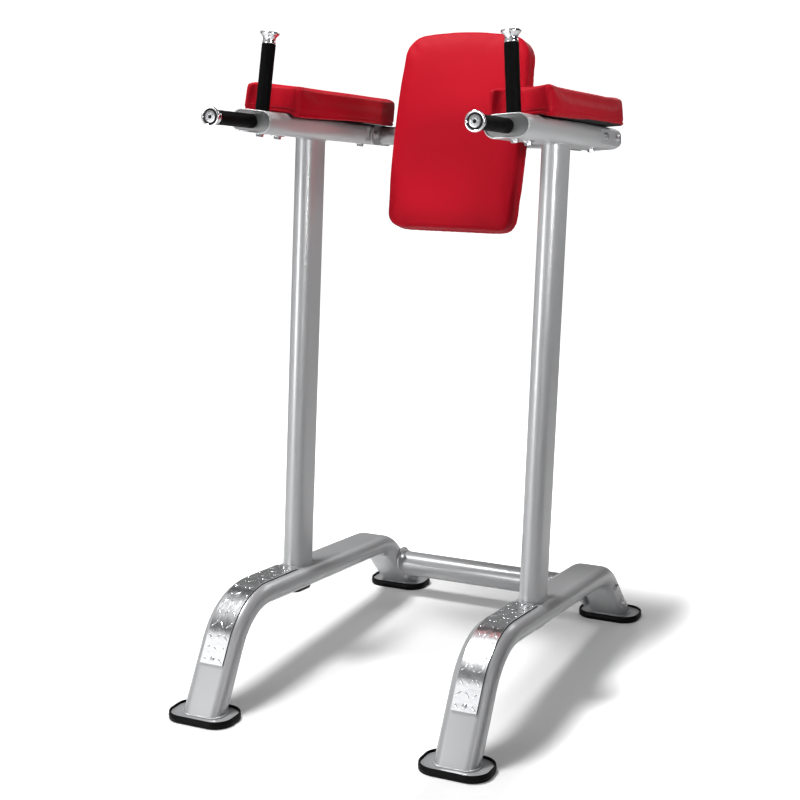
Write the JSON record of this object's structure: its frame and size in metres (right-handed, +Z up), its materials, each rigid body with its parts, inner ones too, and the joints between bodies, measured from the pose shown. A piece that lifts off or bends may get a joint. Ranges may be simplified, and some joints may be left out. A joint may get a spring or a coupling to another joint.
{
  "type": "dip and knee raise station",
  "caption": "Free-standing dip and knee raise station: bent side frames, leaning uprights, padded arms with level and upright hand grips, and a leaning back pad.",
  "frame": {"origin": "on the floor, midway between the four feet", "axes": "+Z up, +X towards the arm on the picture's right, -Y towards the end that the hand grips point to"},
  "size_m": [0.828, 1.21, 1.6092],
  "materials": {
    "silver_paint": "metallic grey powder coat",
    "chrome": "polished",
    "bright_tread": "bright diamond tread",
    "black_rubber": "matt",
    "black_plastic": "satin",
    "red_vinyl": "fine-grained upholstery vinyl",
    "dark_board": "plywood under black backing cloth",
    "bolt_steel": "zinc plated"
  },
  "bodies": {
    "root": {"left_leg": "silver_paint", "right_leg": "silver_paint", "left_tread_plate": "bright_tread", "right_tread_plate": "bright_tread", "left_beam_plug": "black_plastic", "right_beam_plug": "black_plastic", "left_upright": "silver_paint", "right_upright": "silver_paint", "left_front_foot": "black_rubber", "left_rear_foot": "black_rubber", "right_front_foot": "black_rubber", "right_rear_foot": "black_rubber", "left_front_foot_plate": "silver_paint", "left_rear_foot_plate": "silver_paint", "right_front_foot_plate": "silver_paint", "right_rear_foot_plate": "silver_paint", "left_arm": "silver_paint", "right_arm": "silver_paint", "left_arm_front_plate": "silver_paint", "right_arm_front_plate": "silver_paint", "left_arm_rear_cap": "black_plastic", "right_arm_rear_cap": "black_plastic", "left_dip_handle_tube": "silver_paint", "left_dip_handle_grip": "black_rubber", "left_dip_handle_cap": "chrome", "right_dip_handle_tube": "silver_paint", "right_dip_handle_grip": "black_rubber", "right_dip_handle_cap": "chrome", "left_up_handle_tube": "silver_paint", "left_up_handle_grip": "black_rubber", "left_up_handle_cap": "chrome", "right_up_handle_tube": "silver_paint", "right_up_handle_grip": "black_rubber", "right_up_handle_cap": "chrome", "left_arm_pad": "red_vinyl", "right_arm_pad": "red_vinyl", "left_arm_pad_board": "dark_board", "right_arm_pad_board": "dark_board", "left_up_handle_bolt": "bolt_steel", "right_up_handle_bolt": "bolt_steel", "left_front_pad_bolt": "bolt_steel", "right_front_pad_bolt": "bolt_steel", "left_rear_pad_bolt": "bolt_steel", "right_rear_pad_bolt": "bolt_steel", "left_front_arm_bolt": "bolt_steel", "left_rear_arm_bolt": "bolt_steel", "right_front_arm_bolt": "bolt_steel", "right_rear_arm_bolt": "bolt_steel", "left_upper_leg_bolt": "bolt_steel", "left_lower_leg_bolt": "bolt_steel", "right_upper_leg_bolt": "bolt_steel", "right_lower_leg_bolt": "bolt_steel", "lower_cross_tube": "silver_paint", "upper_cross_tube": "silver_paint", "back_pad": "red_vinyl", "back_pad_board": "dark_board", "back_pad_bracket": "silver_paint"}
  },
  "joints": []
}
